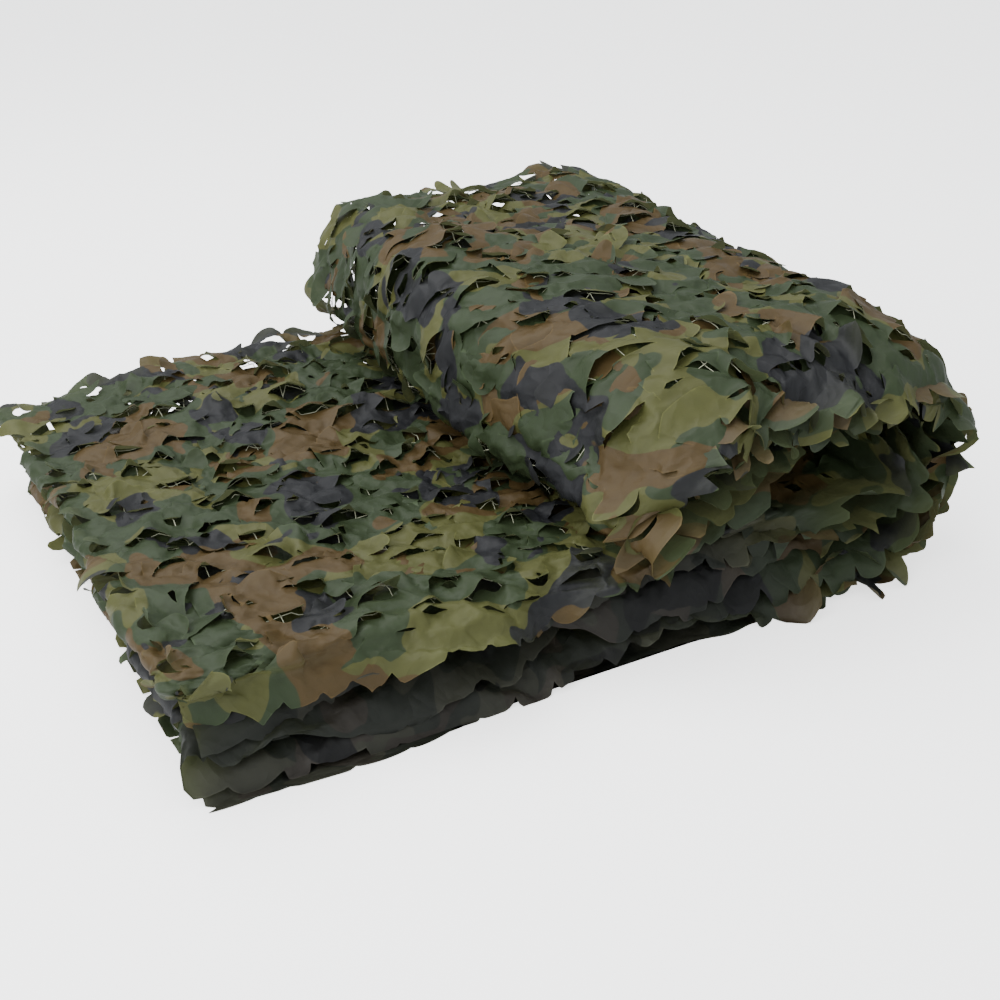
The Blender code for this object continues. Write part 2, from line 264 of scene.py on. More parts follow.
# The leaf cuts. Waves part into two lips, tongues are cut on three sides, nicks are short and straight.
# Turns are shares of a right angle, or radians for the flaps and nicks
leafCuts = {
    "sizes": (
        "rowPitch", "cutPitch", "jitter", "waveHalf", "waveDepth", "tongueHalf", "tongueDepth", "nickHalf",
    ),
    "rowPitch": 0.050, "rowStart": 0.4, "cutPitch": 0.100, "jitter": 0.010, "tilt": 0.34,
    "clearance": 0.0062, "farthest": 0.13, "endClear": 0.008, "lineStep": 0.004,
    "waves": ("arch", "arch", "ess", "gull", "angle"), "waveShare": 0.62, "sharpShare": 0.6,
    "waveHalf": (0.026, 0.045), "waveDepth": (0.005, 0.016), "peak": (-0.6, 0.6),
    "tongueHalf": (0.015, 0.026), "tongueDepth": (0.026, 0.044), "tongueCurl": (0.3, 1.4),
    "tongueTurns": (0.0, 0.0, 0.5, -0.5, 1.2, -1.2), "tongueBack": 0.4, "squareness": (0.65, 1.25),
    "flapHalf": (0.011, 0.024), "flapDepth": (0.022, 0.052), "flapCurl": (0.5, 1.8),
    "flapPitch": 0.040, "flapStart": 0.02, "flapTurn": (1.57, 0.4),
    "flapStray": ((-0.008, 0.004), (-0.01, 0.01)),
    "nickHalf": (0.008, 0.023), "nickDepth": 0.01, "nickEvery": 0.0012, "nickLift": 0.010,
    "nickTurns": (0.2, 0.9, 1.6, 2.3), "nickTilt": 0.25,
    "lift": (0.004, 0.019), "farLipShare": 0.82, "lowerLip": 0.40, "rimBand": (0.22, 0.13),
    "slide": (-0.6, 0.25), "lowerSlide": 0.10, "dip": 0.004, "dipReach": 0.018, "dipFrom": 0.02,
    "reach": 0.62, "sharpTip": 0.9, "roundTip": 1.5, "fade": 1.4, "around": 0.06, "probe": 0.3,
}


def waveLine(cut, s):
    # How far the line of a cut strays from straight. Its shapes are in shares of its half length and depth
    share = s / cut["half"]
    shapes = {
        "arch": 1.0 - share**2,
        "ess": np.sin(math.pi * share),
        "gull": np.cos(1.5 * math.pi * share) - 0.5 * share,
        "angle": 1.0 - 1.6 * np.abs(share - 0.35),
        "nick": 0.2 * share,
    }
    return cut["depth"] * shapes[cut["shape"]]


def cutLine(cut, spacing):
    # Points along the cut, in its own directions
    if cut["shape"] == "tongue":
        count = max(8, round(1.3 * (cut["half"] + cut["depth"]) / spacing))
        turn = math.pi * np.arange(count + 1) / count
        s = cut["half"] * np.sign(np.cos(turn)) * np.abs(np.cos(turn)) ** cut["square"]
        return np.stack([s, -cut["depth"] * np.abs(np.sin(turn)) ** cut["square"]], axis=1)
    count = max(3, round(2 * cut["half"] / spacing))
    s = np.linspace(-cut["half"], cut["half"], count + 1)
    return np.stack([s, waveLine(cut, s)], axis=1)


def cutTurn(cut):
    c, s = math.cos(cut["angle"]), math.sin(cut["angle"])
    return np.array([[c, s], [-s, c]])


def layCuts(uFrom, uTo, vFrom, vTo, sheet, seed, strength=1.0, flaps=()):
    # Staggered rows of cuts, each kept clear of the ones before it. A finer pattern is smaller all over
    rng = np.random.default_rng(seed)
    k = dict(leafCuts)
    k.update({name: np.array(leafCuts[name]) * sheet["fineness"] for name in leafCuts["sizes"]})
    cuts, lines = [], []

    def keep(shape, at, angle, half, depth, lift, up=1, curl=0.0, square=1.0):
        cut = dict(shape=shape, at=np.array(at), angle=angle, half=half, depth=depth, up=up)
        calm = 1.0 - sheet["calmed"] * math.exp(-(((at[1] - sheet["calmAt"]) / sheet["calmReach"]) ** 2))
        rimFrom, rimTo = (sheet["near"] - inwards for inwards in k["rimBand"])
        calm += sheet["rimLively"] * smooth(rimFrom, rimTo, -at[1])
        calm = 1.0 if shape == "nick" else calm
        cut.update(lift=lift * calm * strength, curl=curl * calm * min(1.0, abs(strength)))
        cut.update(way=math.copysign(1.0, strength))
        cut.update(square=square, slide=rng.uniform(*k["slide"]))
        cut.update(peak=rng.uniform(*k["peak"]), sharp=rng.random() < k["sharpShare"])
        line = cut["at"] + cutLine(cut, k["lineStep"]) @ cutTurn(cut)
        inside = uFrom + k["endClear"] < line[:, 0].min() and line[:, 0].max() < uTo - k["endClear"]
        if not inside or line[:, 1].min() < vFrom or line[:, 1].max() > vTo:
            return
        places = np.array([kept["at"] for kept in cuts]).reshape(-1, 2)
        close = np.flatnonzero(np.abs(places - cut["at"]).max(axis=1) < k["farthest"])
        if len(close):
            others = np.concatenate([lines[number] for number in close])
            if np.linalg.norm(others[:, None] - line[None], axis=2).min() < k["clearance"]:
                return
        cuts.append(cut)
        lines.append(line)

    def tongue(at, angle, kind="tongue"):
        half, depth = rng.uniform(*k[kind + "Half"]), rng.uniform(*k[kind + "Depth"])
        curl, square = rng.uniform(*k[kind + "Curl"]), rng.uniform(*k["squareness"])
        lift = rng.uniform(*k["lift"])
        at = (at[0], at[1] + k["tongueBack"] * depth * math.cos(angle))
        keep("tongue", at, angle, half, depth, lift, 1, curl, square)

    def jittered(u, v):
        return u + rng.uniform(-1, 1) * k["jitter"], v + rng.uniform(-1, 1) * k["jitter"]

    strayU, strayV = k["flapStray"]
    turn, spread = k["flapTurn"]
    for u in flaps:  # flaps that stand off a fold
        for v in np.arange(vFrom + k["flapStart"], vTo, k["flapPitch"]):
            at = (u + rng.uniform(*strayU), v + rng.uniform(*strayV))
            tongue(at, turn + rng.normal(0, spread), "flap")
    for rowNumber, v in enumerate(np.arange(vFrom + k["rowPitch"] * k["rowStart"], vTo, k["rowPitch"])):
        for number in range(int((uTo - uFrom) / k["cutPitch"]) + 2):
            u = uFrom + (number + 0.5 * (rowNumber % 2)) * k["cutPitch"]
            at, angle = jittered(u, v), rng.normal(0, k["tilt"])
            if rng.random() < k["waveShare"]:
                shape = rng.choice(k["waves"])
                up = 1 if rng.random() < k["farLipShare"] else -1
                half, depth = rng.uniform(*k["waveHalf"]), rng.uniform(*k["waveDepth"])
                keep(shape, at, angle, half, depth, rng.uniform(*k["lift"]), up)
            else:
                tongue(at, angle + rng.choice(k["tongueTurns"]) * math.pi / 2)
    for _ in range(int((uTo - uFrom) * (vTo - vFrom) / k["nickEvery"])):
        at, half = (rng.uniform(uFrom, uTo), rng.uniform(vFrom, vTo)), rng.uniform(*k["nickHalf"])
        angle = rng.choice(k["nickTurns"]) + rng.normal(0, k["nickTilt"])
        keep("nick", at, angle, half, k["nickDepth"], rng.uniform(0, k["nickLift"]))
    return cuts


# The cut edges of the sheet, and how the rims bend and curl
rims = {
    "lobe": (0.028, 0.080), "depth": (0.008, 0.042), "lean": 0.22, "peak": (0.3, 0.8), "skew": (0.7, 1.5),
    "tabCorner": 0.14, "shortest": 0.02, "endProud": 0.026, "cutClear": 0.006,
    "wander": 0.012, "wanderLength": 0.55,
    "crumpledX": (0.10, 0.35), "crumpledZ": (stackTop - 0.01, stackTop + 0.03),
    "hangSize": 0.075, "plainTurn": 1.45, "plainWave": 0.45, "plainWaveSize": 0.22,
    "curl": 0.011, "curlReach": 0.05, "curlSize": (0.055, 0.12), "curlShare": 0.5, "curlLimit": 1.2,
}


def lobedEdge(length, spacing, rng):
    # A cut edge of the cloth: uneven lobes, tabs and fins with a notch between each two
    alongs, outs = [], []
    start = 0.0
    while start < length - rims["shortest"]:
        lobe = min(rng.uniform(*rims["lobe"]), length - start)
        depth = rng.uniform(*rims["depth"]) * min(1.0, lobe / rims["lobe"][0])
        share = np.linspace(0, 1, max(5, round((lobe + depth) / spacing)), endpoint=False)
        peak = rng.uniform(*rims["peak"])
        corner = np.clip(np.minimum(share, 1.0 - share) / rims["tabCorner"], 0.0, 1.0)
        rises = {
            "lobe": np.sin(math.pi * share ** rng.uniform(*rims["skew"])) ** 0.7,
            "fin": np.minimum((share / peak) ** 0.8, ((1.0 - share) / (1.0 - peak)) ** 1.1),
            "tab": corner * (0.8 + 0.2 * share),
        }
        kind = rng.choice(list(rises))
        lean = rims["lean"] * rises[kind] * (1.0 - share) if kind == "fin" else 0.0
        alongs.append(start + lobe * (share + lean))
        outs.append(depth * rises[kind])
        start += lobe
    return np.concatenate(alongs + [[length]]), np.concatenate(outs + [[0.0]]) - rims["depth"][1]


def crumpled(u):
    # The near rims are crumpled in the block and at the right end, and plainer elsewhere
    x, z = np.interp(u, travelledAll, placesAll[:, 0]), np.interp(u, travelledAll, placesAll[:, 1])
    return np.maximum(smooth(*rims["crumpledZ"], z), smooth(*rims["crumpledX"], x))


def atCavity(u, sheet):
    # The near rims draw back around the hollow inside the block
    x, z = np.interp(u, travelledAll, placesAll[:, 0]), np.interp(u, travelledAll, placesAll[:, 1])
    (middleX, middleZ), (sizeX, sizeZ) = sheet["cavityAt"], sheet["cavitySize"]
    return np.exp(-((x - middleX) / sizeX) ** 2 - ((z - middleZ) / sizeZ) ** 2)


def outline(uFrom, uTo, sheet, rng):
    # Around a stretch of the sheet: two lobed rims, and an end that is lobed where the sheet stops
    spacing = sheet["spacing"]
    sides = []
    for side, edge in ((-1, sheet["near"]), (1, sheet["far"])):
        along, out = lobedEdge(uTo - uFrom, spacing, rng)
        if side < 0:
            out = out * (sheet["plainDepth"] + (1.0 - sheet["plainDepth"]) * crumpled(uFrom + along))
        onGround = uTo <= marks["coverStart"]
        drift = 0.0
        if sheet["inside"] and not onGround:
            drift = rims["wander"] * (1.0 + np.sin(math.tau * along / rims["wanderLength"] + side))
            if side < 0:
                drift = drift - (drift + sheet["blockProud"]) * crumpled(uFrom + along)
                drift = drift + sheet["cavity"] * atCavity(uFrom + along, sheet)
        edge = edge + (sheet["groundRim"] if onGround and side < 0 else 0.0)
        sides.append(np.stack([uFrom + along, side * (edge + out - drift)], axis=1))
    nearRim, farRim = sides[0], sides[1][::-1]
    ends = []
    for start, end, inwards in ((nearRim[-1], farRim[0], -1), (farRim[-1], nearRim[0], 1)):
        width = abs(end[1] - start[1])
        along, out = np.arange(0.0, width, spacing), 0.0
        if min(abs(start[0]), abs(start[0] - sheetLength)) < sameSpot:
            along, out = lobedEdge(width, spacing, rng)
            out = out + rims["endProud"]
        along = along / width
        v = start[1] + (end[1] - start[1]) * along
        ends.append(np.stack([start[0] + (end[0] - start[0]) * along - inwards * out, v], axis=1)[1:-1])
    return np.concatenate([nearRim, ends[0], farRim, ends[1]])


# How the points of the flat sheet lie, in shares of their spacing
meshing = {"jitter": 0.22, "onCuts": 0.8, "clearance": 0.62, "rowRise": 0.866, "pastRim": 0.01}


def latticePoints(uFrom, uTo, vFrom, vTo, spacing, rng):
    countU = max(1, round((uTo - uFrom) / spacing))
    countV = max(1, round((vTo - vFrom) / (spacing * meshing["rowRise"])))
    u, v = np.meshgrid(np.arange(countU), np.arange(countV + 1), indexing="ij")
    u = uFrom + (u + 0.25 + 0.5 * (v % 2)) * (uTo - uFrom) / countU
    v = vFrom + v * (vTo - vFrom) / countV
    points = np.stack([u.ravel(), v.ravel()], axis=1)
    return points + rng.uniform(-meshing["jitter"], meshing["jitter"], points.shape) * spacing


def underTop(u, sheet):
    # The plies just under the ones that show, seen through their cuts
    underShelf = (u > marks["shelfEnd"]) & (u < marks["shelfEnd"] + sheet["underShelf"])
    return underShelf | ((u > marks["secondFace"]) & (u < marks["secondTop"]))


def pointAreas(uFrom, uTo, sheet):
    # Stretches of the sheet and how far apart its points lie there
    vNear, vFar, spacing = -sheet["near"] - meshing["pastRim"], sheet["far"], sheet["spacing"]
    if not sheet["inside"]:
        return [(uFrom, uTo, vNear, vFar, spacing)]
    areas = []
    u = np.arange(uFrom, uTo, sheet["areaStep"])
    atLeft = np.interp(u, travelledAll, placesAll[:, 0]) < left + sheet["leftBand"]
    shows = atLeft | underTop(u, sheet)
    changes = [0, *(np.flatnonzero(np.diff(shows)) + 1), len(u)]
    for start, end in zip(changes, changes[1:]):
        stop = uTo if end == len(u) else u[end]
        if shows[start]:
            areas.append((u[start], stop, vNear, vFar, spacing * sheet["showsCoarser"]))
            continue
        for depthFrom, depthTo, coarser in sheet["bands"]:
            areas.append((u[start], stop, vNear + depthFrom, vNear + depthTo, spacing * coarser))
            areas.append((u[start], stop, vFar - depthTo, vFar - depthFrom, spacing * coarser))
        reach = sheet["bands"][-1][1] + sheet["coarse"] / 2
        areas.append((u[start], stop, vNear + reach, vFar - reach, sheet["coarse"]))
    return areas


def treeOf(points):
    # To find the points of the flat sheet that lie near a place
    tree = kdtree.KDTree(len(points))
    for number, point in enumerate(points):
        tree.insert((*point, 0.0), number)
    tree.balance()
    return tree


def flatCloth(name, spans, cuts, sheet):
    # The cut pattern laid flat, with its cuts parted. Each span is a stretch of the sheet
    rng = np.random.default_rng(sheet["seed"] + 100)
    spacing = sheet["spacing"]
    fixed, edges, outlines, loose = [], [], [], []
    for uFrom, uTo in spans:
        around = outline(uFrom, uTo, sheet, rng)
        start = sum(len(points) for points in fixed)
        outlines.append(list(range(start, start + len(around))))
        fixed.append(around)
        loose += [latticePoints(*area, rng) for area in pointAreas(uFrom, uTo, sheet)]
    for cut in cuts:
        line = cut["at"] + cutLine(cut, spacing * meshing["onCuts"]) @ cutTurn(cut)
        start = sum(len(points) for points in fixed)
        edges += [(start + i, start + i + 1) for i in range(len(line) - 1)]
        fixed.append(line)
    fixed, loose = np.concatenate(fixed), np.concatenate(loose)
    tree = treeOf(fixed)
    loose = loose[[tree.find((*point, 0.0))[2] > spacing * meshing["clearance"] for point in loose]]
    points = [Vector(point) for point in np.concatenate([fixed, loose])]
    vertices, _, faces, _, _, _ = delaunay_2d_cdt(points, edges, outlines, 1, 1e-6)
    used, faces = np.unique(np.array(faces), return_inverse=True)
    numbers = np.full(len(vertices), -1)
    numbers[used] = np.arange(len(used))
    cloth = bpy.data.meshes.new(name)
    cloth.from_pydata([(*vertices[i], 0.0) for i in used], [], faces.reshape(-1, 3).tolist())
    made = bpy.data.objects.new(name, cloth)
    bpy.context.scene.collection.objects.link(made)
    partSeams(made, np.sort(numbers[np.array(edges)], axis=1))
    return made


def onlySelect(piece):
    bpy.ops.object.select_all(action="DESELECT")
    bpy.context.view_layer.objects.active = piece
    piece.select_set(True)


def partSeams(piece, cutEnds):
    # Parts the cloth along the cuts, which until now are only edges
    onlySelect(piece)
    cloth = piece.data
    bpy.context.tool_settings.mesh_select_mode = (False, True, False)
    bpy.ops.object.mode_set(mode="EDIT")
    bpy.ops.mesh.select_all(action="DESELECT")
    bpy.ops.object.mode_set(mode="OBJECT")
    ends = np.empty(len(cloth.edges) * 2, dtype=np.int32)
    cloth.edges.foreach_get("vertices", ends)
    ends = np.sort(ends.reshape(-1, 2), axis=1).astype(np.int64)
    many = len(cloth.vertices)
    isCut = np.isin(ends[:, 0] * many + ends[:, 1], cutEnds[:, 0] * many + cutEnds[:, 1])
    cloth.edges.foreach_set("select", isCut)
    bpy.ops.object.mode_set(mode="EDIT")
    bpy.ops.mesh.edge_split(type="EDGE")
    bpy.ops.object.mode_set(mode="OBJECT")


def openCut(cut, own, probe):
    # How the cloth around one cut moves in the sheet's plane, and how far it rises
    k = leafCuts
    s, t = own.T
    half, depth = cut["half"], cut["depth"]
    moved = np.zeros_like(own)
    if cut["shape"] == "tongue":
        power = 2.0 / cut["square"]
        within = np.abs(probe[:, 0] / half) ** power + np.abs(probe[:, 1] / depth) ** power < 1
        within &= probe[:, 1] < 0
        bend = max(cut["curl"], 0.05) / depth
        run = np.maximum(-t, 0.0)
        moved[:, 1] = np.where(within, run - np.sin(bend * run) / bend, 0.0)
        beside = np.hypot(np.maximum(np.abs(s) - half, 0), np.maximum(-t - depth, 0))
        dip = np.where(t < 0, -k["dip"] * np.exp(-((beside / k["dipReach"]) ** 2)), 0.0)
        dip = dip * smooth(0, k["dipFrom"], run)
        return moved, cut["way"] * np.where(within, (1.0 - np.cos(bend * run)) / bend, dip)
    side = np.sign(probe[:, 1] - waveLine(cut, np.clip(probe[:, 0], -half, half)))
    away = np.abs(t - waveLine(cut, np.clip(s, -half, half)))
    along = np.clip(s / half, -1, 1)
    tent = np.minimum((1 + along) / (1 + cut["peak"]), (1 - along) / (1 - cut["peak"]))
    share = tent ** k["sharpTip"] if cut["sharp"] else np.sin(0.5 * math.pi * tent) ** k["roundTip"]
    share = share * np.exp(-((away / (k["reach"] * half)) ** k["fade"]))
    raisedLip = side == cut["up"]
    moved[:, 1] = side * np.where(raisedLip, cut["slide"], k["lowerSlide"]) * cut["lift"] * share
    return moved, np.where(raisedLip, 1.0, -k["lowerLip"]) * cut["lift"] * share


# Unevenness of the loose cloth, besides its cuts
ripples = {
    "swell": 0.0050, "swellSize": (0.15, 0.11), "slant": (0.3, 0.4),
    "crumple": 0.0014, "crumpleSize": (0.060, 0.045),
    "facet": 0.0036, "facetSize": (0.036, 0.028),
}


def rippled(u, v):
    k = ripples
    rise = k["swell"] * softNoise(u, v, *k["swellSize"], 11)
    less, more = k["slant"]
    rise = rise + k["crumple"] * softNoise(u + less * v, v, *k["crumpleSize"], 12)
    return rise + k["facet"] * facetNoise(u - more * v, v + less * u, *k["facetSize"], 13)


def hangingRims(u, v, sheet):
    # The rims bend over the bundle's sides, more here and less there
    k = rims
    pulledIn, drop = np.zeros_like(v), np.zeros_like(v)
    for side, (start, reach, low, high) in ((-1, sheet["hangNear"]), (1, sheet["hangFar"])):
        over = np.maximum(side * v - start, 0.0)
        turn = low + (high - low) * (0.5 + 0.5 * softNoise(u, v * 0.0, k["hangSize"], 1.0, 16 + side))
        if side < 0 and sheet["inside"]:
            plain = k["plainTurn"] + k["plainWave"] * softNoise(u, 0.0 * v, k["plainWaveSize"], 1.0, 19)
            turn = plain + (turn - plain) * crumpled(u)
        turn = np.where(np.abs(turn) < leastTurn, leastTurn, turn)
        bent, straight = np.minimum(over, reach) * turn / reach, np.maximum(over - reach, 0.0)
        onwards = np.sin(bent) * reach / turn + straight * np.cos(turn)
        pulledIn += side * (over - onwards)
        drop += (1.0 - np.cos(bent)) * reach / turn + straight * np.sin(turn)
    if sheet["inside"]:
        drop *= np.interp(u, travelledAll, sidesAll[:, 1])
    fine, broad = k["curlSize"]
    curl = softNoise(u, 0.0 * v, fine, 1.0, 14) + k["curlShare"] * softNoise(u, np.sign(v), broad, 1.0, 15)
    edge = np.where(v < 0, sheet["near"], sheet["far"])
    atRim = np.clip(1.0 - (edge - np.abs(v)) / k["curlReach"], 0.0, k["curlLimit"])
    return pulledIn, k["curl"] * curl * atRim**2 - drop


# The leaf cloth is tied to its string mesh here and there, and is a little larger, so it puckers
settling = {
    "tiePitch": (0.105, 0.085), "tieInset": (0.02, 0.06), "tieShort": (0.01, 0.05),
    "tieJitter": 0.018, "tieClear": 0.007,
    "growth": 0.035, "frames": 9, "quality": 4, "mass": 0.05, "stretch": 10.0, "bend": 0.15, "air": 2.0,
}


def tieCloth(piece, tree, flat, spans, sheet):
    # Picks the points where strings hold the cloth down, and the ends where it goes on
    rng = np.random.default_rng(sheet["seed"] + 30)
    k = settling
    (pitchU, pitchV), (insetU, insetV), (shortU, shortV) = k["tiePitch"], k["tieInset"], k["tieShort"]
    tied = set()
    for uFrom, uTo in spans:
        for row, v in enumerate(np.arange(-sheet["near"] + insetV, sheet["far"] - shortV, pitchV)):
            for u in np.arange(uFrom + insetU, uTo - shortU, pitchU):
                u = u + 0.5 * (row % 2) * pitchU
                at = np.array((min(u, uTo), v)) + rng.uniform(-1, 1, 2) * k["tieJitter"]
                tied.update(number for _, number, _ in tree.find_range((*at, 0.0), k["tieClear"]))
        for end in (uFrom, uTo):
            if sameSpot < end < sheetLength - sameSpot:
                tied.update(np.flatnonzero(np.abs(flat[:, 0] - end) < sameSpot).tolist())
    piece.vertex_groups.new(name="tied").add(sorted(tied), 1.0, "REPLACE")


def settleCloth(piece):
    # Blender's cloth simulation, while the sheet is still flat
    onlySelect(piece)
    settle = piece.modifiers.new("settle", "CLOTH")
    k = settle.settings
    k.quality, k.mass, k.air_damping = settling["quality"], settling["mass"], settling["air"]
    k.tension_stiffness = k.compression_stiffness = k.shear_stiffness = settling["stretch"]
    k.bending_stiffness = settling["bend"]
    k.shrink_min = k.shrink_max = -settling["growth"]
    k.effector_weights.gravity = 0.0
    k.vertex_group_mass = "tied"
    settle.point_cache.frame_start, settle.point_cache.frame_end = 1, settling["frames"]
    for number in range(1, settling["frames"] + 1):
        bpy.context.scene.frame_set(number)
    bpy.ops.object.modifier_apply(modifier=settle.name)
    bpy.context.scene.frame_set(1)


def readFlat(cloth):
    places = np.empty(len(cloth.vertices) * 3, dtype=np.float32)
    cloth.vertices.foreach_get("co", places)
    return places.reshape(-1, 3).astype(float)


def placeAll(cloth, places):
    cloth.vertices.foreach_set("co", places.ravel().astype(np.float32))
    cloth.update()


def edgePoints(cloth):
    # 1 at the points on a cut or at a rim, else 0
    ends = np.empty(len(cloth.edges) * 2, dtype=np.int32)
    cloth.edges.foreach_get("vertices", ends)
    sides = np.empty(len(cloth.loops), dtype=np.int32)
    cloth.loops.foreach_get("edge_index", sides)
    free = np.bincount(sides, minlength=len(cloth.edges)) == 1
    atEdge = np.zeros(len(cloth.vertices), dtype=np.float32)
    atEdge[ends.reshape(-1, 2)[free].ravel()] = 1.0
    return atEdge


def paintedShadeShare(flat, sheet):
    # How much painted shade darkens and greys the print, at the near rims of the plies inside
    if not sheet["inside"]:
        return np.zeros(len(flat))
    start, band, spared = sheet["reverse"]
    return smooth(start, start + band, -flat[:, 1]) * (1.0 - spared * crumpled(flat[:, 0]))


def probePoints(cloth, flat, corners):
    # Each point moved a little into its own faces, which tells the two sides of a cut apart
    middles = np.repeat(flat[corners.reshape(-1, 3)].mean(axis=1), 3, axis=0)
    total = np.zeros_like(flat)
    np.add.at(total, corners, middles)
    uses = np.maximum(np.bincount(corners, minlength=len(flat)), 1)[:, None]
    return flat + leafCuts["probe"] * (total / uses - flat)


settledSheets = {}


def shapeCloth(piece, spans, cuts, sheet):
    # Opens the cuts, bends the tongues, settles the sheet and lays it into the folds
    cloth = piece.data
    flat = readFlat(cloth)[:, :2]
    corners = np.empty(len(cloth.loops), dtype=np.int32)
    cloth.loops.foreach_get("vertex_index", corners)
    layer = cloth.uv_layers.new(name="flat")
    layer.data.foreach_set("uv", flat[corners].ravel().astype(np.float32))
    # The second attribute is painted shade, which darkens the print at the near rims of the plies inside
    for name, values in (("cutRim", edgePoints(cloth)), ("reverse", paintedShadeShare(flat, sheet))):
        cloth.attributes.new(name, "FLOAT", "POINT").data.foreach_set("value", values.astype(np.float32))
    probe = probePoints(cloth, flat, corners)
    u, v = flat.T.copy()
    lift = sheet["liveliness"] * rippled(u, v)
    if sheet["inside"]:
        inMiddle = 1.0 - smooth(*sheet["risenTo"], -v)
        apart = np.where(u < marks["shelfEnd"] + sheet["underShelf"], pitch, blockPitch)
        lift -= underTop(u, sheet) * (apart - sheet["gap"]) * inMiddle
    for cut in cuts:
        reach = cut["half"] + leafCuts["around"]
        close = np.flatnonzero(np.abs(flat - cut["at"]).max(axis=1) < reach)
        turn = cutTurn(cut)
        own, ownProbe = ((points[close] - cut["at"]) @ turn.T for points in (flat, probe))
        moved, raised = openCut(cut, own, ownProbe)
        moved = moved @ turn
        u[close] += moved[:, 0]
        v[close] += moved[:, 1]
        lift[close] += raised
    placeAll(cloth, np.stack([u, v, lift], axis=1))
    tree = treeOf(flat)
    tieCloth(piece, tree, flat, spans, sheet)
    settleCloth(piece)
    cloth = piece.data
    u, v, lift = readFlat(cloth).T
    settledSheets[piece.name] = (tree, lift)
    pulledIn, drop = hangingRims(u, v, sheet)
    placeAll(cloth, foldedPlace(u, v - pulledIn, lift + drop))
    onlySelect(piece)
    bpy.ops.object.shade_smooth()
    print(piece.name, len(cloth.polygons), "triangles,", len(cuts), "cuts")
    return piece


class Wire:
    # One output in a material. Arithmetic on wires adds Math nodes
    def __init__(self, tree, socket=None):
        self.tree, self.socket = tree, socket

    def node(self, kind, settings=None, sockets=None, output=0):
        new = self.tree.nodes.new("ShaderNode" + kind)
        for name, value in (settings or {}).items():
            setattr(new, name, value)
        for name, value in (sockets or {}).items():
            if isinstance(value, Wire):
                self.tree.links.new(value.socket, new.inputs[name])
            else:
                new.inputs[name].default_value = value
        return Wire(self.tree, new.outputs[output])

    def maths(self, operation, *values):
        return self.node("Math", {"operation": operation}, dict(enumerate(values)))

    def __add__(self, other):
        return self.maths("ADD", self, other)

    def __radd__(self, other):
        return self.maths("ADD", other, self)

    def __sub__(self, other):
        return self.maths("SUBTRACT", self, other)

    def __rsub__(self, other):
        return self.maths("SUBTRACT", other, self)

    def __mul__(self, other):
        return self.maths("MULTIPLY", self, other)

    def __rmul__(self, other):
        return self.maths("MULTIPLY", other, self)

    def step(self, low, high):
        return self.node("MapRange", {"interpolation_type": "SMOOTHSTEP"}, {"Value": self, 1: low, 2: high})

    def mixed(self, first, second):
        return self.node("Mix", {"data_type": "RGBA"}, {0: self, 6: first, 7: second}, output=2)

    def noise(self, place, scale, detail=0.0):
        sockets = {"Vector": place, "Scale": scale, "Detail": detail}
        return self.node("TexNoise", {"noise_dimensions": "3D"}, sockets)


# The print: four colours of a woodland pattern, over the flat sheet in metres. Colours are linear
leafPrint = {
    "green": (0.0235, 0.0358, 0.0148, 1), "olive": (0.064, 0.067, 0.0198, 1),
    "brown": (0.058, 0.037, 0.0122, 1), "navy": (0.0115, 0.012, 0.0138, 1),
    "oliveFrom": 0.545, "brownFrom": 0.582, "navyFrom": 0.618, "edge": 0.004,
    "stretch": (10.5, 9.5, 1.0), "patchDetail": 0.6, "wander": 0.6, "wanderScale": 1.6,
    "base": 0.84, "mottle": 0.40, "mottleScale": 60.0, "rough": 0.46, "roughMottle": 0.16, "specular": 0.25,
    # The rim values: cut edges paler from frayed fibres and a painted highlight, and the inner near rims
    # darker and greyer as painted shade
    "rimFrayAndHighlight": 0.55, "rimFrom": 0.72, "reverseDarker": 0.64, "reverseGreyer": 0.62,
    "throughShare": 0.27, "through": (0.125, 0.14, 0.066, 1),
}
# Creases and weave as bump: noise scale, detail and share
creases = {
    "broad": (13.0, 1.0), "fine": (34.0, 1.5, 0.4), "weave": (700.0, 1.0, 0.006), "deep": (0.75, 0.016),
}


